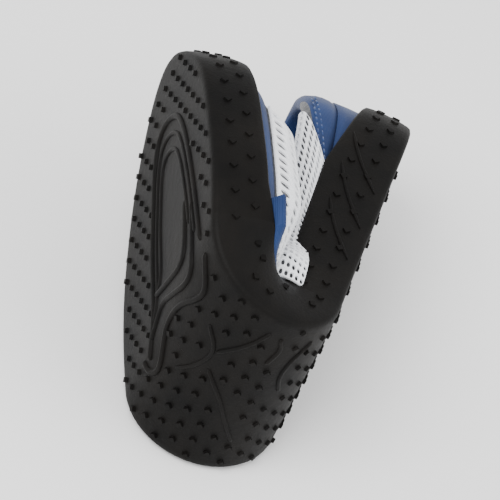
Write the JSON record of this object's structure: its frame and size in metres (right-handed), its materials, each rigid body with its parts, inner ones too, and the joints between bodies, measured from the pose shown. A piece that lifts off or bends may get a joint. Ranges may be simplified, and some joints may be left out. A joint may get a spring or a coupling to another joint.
{
  "type": "slip-on water shoe",
  "caption": "Low slip-on water shoe with studded rubber cupsole and stretch fabric and mesh upper, bent double over its waist; the sole opens flat along flex lines.",
  "frame": {"origin": "centre of the bounding box at the surface that the shoe lies on", "axes": "+Z from the lateral to the medial side, +Y from the bend to the toe, +X from the forefoot sole to the heel sole"},
  "size_m": [0.0964, 0.146, 0.095],
  "materials": {
    "outsole_rubber": "matte, fine grain",
    "board": "flat",
    "footbed_foam": "matte foam",
    "stretch_fabric": "smooth knit",
    "spacer_mesh": "open spacer mesh",
    "stiffener": "matte",
    "foam": "open foam",
    "lining": "knit",
    "binding_tape": "woven tape"
  },
  "bodies": {
    "forefoot": {"footbed_forefoot": "footbed_foam", "insole_board_forefoot": "board", "outsole_forefoot": "outsole_rubber", "throat_binding": "binding_tape", "toe_puff": "stiffener", "vamp_lining": "lining", "vamp_mesh": "spacer_mesh", "vamp_panel": "stretch_fabric"},
    "flex_5": {"footbed_flex_5": "footbed_foam", "insole_board_flex_5": "board", "outsole_flex_5": "outsole_rubber", "quarter_flex_5_lateral": "spacer_mesh", "quarter_flex_5_medial": "spacer_mesh"},
    "flex_4": {"footbed_flex_4": "footbed_foam", "insole_board_flex_4": "board", "outsole_flex_4": "outsole_rubber", "quarter_flex_4_lateral": "spacer_mesh", "quarter_flex_4_medial": "spacer_mesh"},
    "flex_3": {"footbed_flex_3": "footbed_foam", "insole_board_flex_3": "board", "outsole_flex_3": "outsole_rubber", "quarter_flex_3_lateral": "spacer_mesh", "quarter_flex_3_medial": "spacer_mesh"},
    "flex_2": {"footbed_flex_2": "footbed_foam", "insole_board_flex_2": "board", "outsole_flex_2": "outsole_rubber", "quarter_flex_2_lateral": "spacer_mesh", "quarter_flex_2_medial": "spacer_mesh"},
    "flex_1": {"footbed_flex_1": "footbed_foam", "insole_board_flex_1": "board", "outsole_flex_1": "outsole_rubber", "quarter_flex_1_lateral": "spacer_mesh", "quarter_flex_1_medial": "spacer_mesh"},
    "heel": {"collar_binding": "binding_tape", "collar_lining": "lining", "collar_padding": "foam", "footbed_heel": "footbed_foam", "heel_counter": "stiffener", "heel_panel": "stretch_fabric", "insole_board_heel": "board", "outsole_heel": "outsole_rubber", "quarter_mesh_lateral": "spacer_mesh", "quarter_mesh_medial": "spacer_mesh"}
  },
  "joints": [
    {"name": "sole_bend_1", "type": "hinge", "parent": "forefoot", "child": "flex_5", "pos_m": [-0.04645, -0.05124, 0.048], "axis": [0, 0, -1], "range_deg": [0, 26.4]},
    {"name": "sole_bend_2", "type": "hinge", "parent": "flex_5", "child": "flex_4", "pos_m": [-0.04111, -0.06199, 0.048], "axis": [0, 0, -1], "range_deg": [0, 26.4]},
    {"name": "sole_bend_3", "type": "hinge", "parent": "flex_4", "child": "flex_3", "pos_m": [-0.03156, -0.06925, 0.048], "axis": [0, 0, -1], "range_deg": [0, 26.4]},
    {"name": "sole_bend_4", "type": "hinge", "parent": "flex_3", "child": "flex_2", "pos_m": [-0.01977, -0.07149, 0.048], "axis": [0, 0, -1], "range_deg": [0, 26.4]},
    {"name": "sole_bend_5", "type": "hinge", "parent": "flex_2", "child": "flex_1", "pos_m": [-0.00821, -0.06827, 0.048], "axis": [0, 0, -1], "range_deg": [0, 26.4]},
    {"name": "sole_bend_6", "type": "hinge", "parent": "flex_1", "child": "heel", "pos_m": [0.00071, -0.06024, 0.048], "axis": [0, 0, -1], "range_deg": [0, 26.4]}
  ],
  "couplings": [
    {"joint": "sole_bend_2", "follows": "sole_bend_1", "ratio": 1},
    {"joint": "sole_bend_3", "follows": "sole_bend_1", "ratio": 1},
    {"joint": "sole_bend_4", "follows": "sole_bend_1", "ratio": 1},
    {"joint": "sole_bend_5", "follows": "sole_bend_1", "ratio": 1},
    {"joint": "sole_bend_6", "follows": "sole_bend_1", "ratio": 1}
  ]
}
